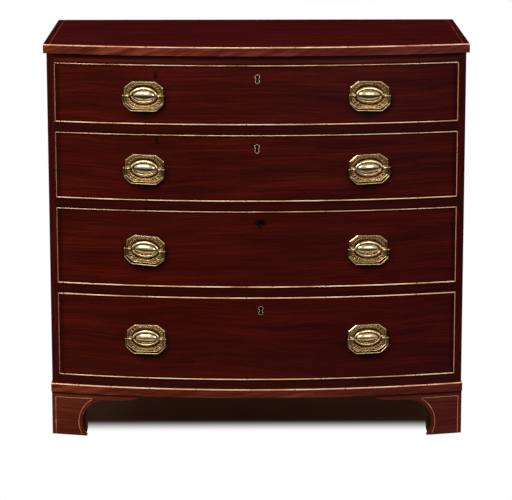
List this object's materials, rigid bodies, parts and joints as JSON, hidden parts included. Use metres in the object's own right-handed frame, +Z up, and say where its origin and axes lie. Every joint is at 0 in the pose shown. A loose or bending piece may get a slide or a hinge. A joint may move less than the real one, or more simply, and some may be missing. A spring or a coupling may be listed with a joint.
{
  "type": "bow front chest of drawers",
  "caption": "Bow front chest of long drawers in dark mahogany with pale edge beading, oval-bossed brass bail handles and bracket feet; drawers slide, bails swing.",
  "frame": {"origin": "on the floor, under the middle of the chest's bounding box", "axes": "+Z up; the bowed drawer fronts face -Y and the flat back faces +Y; +X runs to the right, seen from the front"},
  "size_m": [1.06, 0.59, 1.004],
  "materials": {
    "mahogany": "french polished, dark red brown",
    "mahogany_banding": "polished, lighter red brown",
    "boxwood": "polished, pale yellow brown",
    "oak": "bare planed oak",
    "pine": "bare, aged pine",
    "brass": "pressed, aged and rubbed",
    "lock_steel": "dull iron lock case"
  },
  "bodies": {
    "case": {"top": "mahogany", "top_stringing": "boxwood", "top_rail": "mahogany", "divider_1": "mahogany", "divider_2": "mahogany", "divider_3": "mahogany", "case_bottom": "mahogany", "case_left_side": "mahogany", "case_right_side": "mahogany", "back_board": "pine", "base_moulding": "mahogany_banding", "base_stringing": "boxwood", "front_left_foot": "mahogany_banding", "front_right_foot": "mahogany_banding", "rear_left_foot": "mahogany_banding", "rear_right_foot": "mahogany_banding"},
    "drawer_1": {"drawer_1_front": "mahogany", "drawer_1_left_side": "oak", "drawer_1_right_side": "oak", "drawer_1_back": "oak", "drawer_1_bottom": "oak", "drawer_1_cock_bead": "boxwood", "drawer_1_lock": "lock_steel", "drawer_1_left_plate": "brass", "drawer_1_right_plate": "brass"},
    "drawer_2": {"drawer_2_front": "mahogany", "drawer_2_left_side": "oak", "drawer_2_right_side": "oak", "drawer_2_back": "oak", "drawer_2_bottom": "oak", "drawer_2_cock_bead": "boxwood", "drawer_2_lock": "lock_steel", "drawer_2_left_plate": "brass", "drawer_2_right_plate": "brass"},
    "drawer_3": {"drawer_3_front": "mahogany", "drawer_3_left_side": "oak", "drawer_3_right_side": "oak", "drawer_3_back": "oak", "drawer_3_bottom": "oak", "drawer_3_cock_bead": "boxwood", "drawer_3_lock": "lock_steel", "drawer_3_left_plate": "brass", "drawer_3_right_plate": "brass"},
    "drawer_4": {"drawer_4_front": "mahogany", "drawer_4_left_side": "oak", "drawer_4_right_side": "oak", "drawer_4_back": "oak", "drawer_4_bottom": "oak", "drawer_4_cock_bead": "boxwood", "drawer_4_lock": "lock_steel", "drawer_4_left_plate": "brass", "drawer_4_right_plate": "brass"},
    "drawer_1_left_bail": {"drawer_1_left_bail": "brass"},
    "drawer_1_right_bail": {"drawer_1_right_bail": "brass"},
    "drawer_2_left_bail": {"drawer_2_left_bail": "brass"},
    "drawer_2_right_bail": {"drawer_2_right_bail": "brass"},
    "drawer_3_left_bail": {"drawer_3_left_bail": "brass"},
    "drawer_3_right_bail": {"drawer_3_right_bail": "brass"},
    "drawer_4_left_bail": {"drawer_4_left_bail": "brass"},
    "drawer_4_right_bail": {"drawer_4_right_bail": "brass"}
  },
  "joints": [
    {"name": "drawer_1_slide", "type": "slide", "parent": "case", "child": "drawer_1", "axis": [0, -1, 0], "range_m": [0, 0.34]},
    {"name": "drawer_1_left_bail_hinge", "type": "hinge", "parent": "drawer_1", "child": "drawer_1_left_bail", "pos_m": [-0.28035, -0.27599, 0.8815], "axis": [-0.9908, 0.135, 0], "range_deg": [-8, 188]},
    {"name": "drawer_1_right_bail_hinge", "type": "hinge", "parent": "drawer_1", "child": "drawer_1_right_bail", "pos_m": [0.28035, -0.27599, 0.8815], "axis": [-0.9902, -0.1349, 0.0349], "range_deg": [-8, 188]},
    {"name": "drawer_2_slide", "type": "slide", "parent": "case", "child": "drawer_2", "axis": [0, -1, 0], "range_m": [0, 0.34]},
    {"name": "drawer_2_left_bail_hinge", "type": "hinge", "parent": "drawer_2", "child": "drawer_2_left_bail", "pos_m": [-0.28035, -0.27599, 0.69825], "axis": [-0.9905, 0.1349, 0.0262], "range_deg": [-8, 188]},
    {"name": "drawer_2_right_bail_hinge", "type": "hinge", "parent": "drawer_2", "child": "drawer_2_right_bail", "pos_m": [0.28035, -0.27599, 0.69825], "axis": [-0.9902, -0.1349, -0.0349], "range_deg": [-8, 188]},
    {"name": "drawer_3_slide", "type": "slide", "parent": "case", "child": "drawer_3", "axis": [0, -1, 0], "range_m": [0, 0.34]},
    {"name": "drawer_3_left_bail_hinge", "type": "hinge", "parent": "drawer_3", "child": "drawer_3_left_bail", "pos_m": [-0.28035, -0.27599, 0.49225], "axis": [-0.9884, 0.1347, 0.0698], "range_deg": [-8, 188]},
    {"name": "drawer_3_right_bail_hinge", "type": "hinge", "parent": "drawer_3", "child": "drawer_3_right_bail", "pos_m": [0.28035, -0.27599, 0.49225], "axis": [-0.9905, -0.1349, 0.0262], "range_deg": [-8, 188]},
    {"name": "drawer_4_slide", "type": "slide", "parent": "case", "child": "drawer_4", "axis": [0, -1, 0], "range_m": [0, 0.34]},
    {"name": "drawer_4_left_bail_hinge", "type": "hinge", "parent": "drawer_4", "child": "drawer_4_left_bail", "pos_m": [-0.28035, -0.27599, 0.263], "axis": [-0.9908, 0.135, -0.0087], "range_deg": [-8, 188]},
    {"name": "drawer_4_right_bail_hinge", "type": "hinge", "parent": "drawer_4", "child": "drawer_4_right_bail", "pos_m": [0.28035, -0.27599, 0.263], "axis": [-0.9907, -0.135, -0.0175], "range_deg": [-8, 188]}
  ]
}
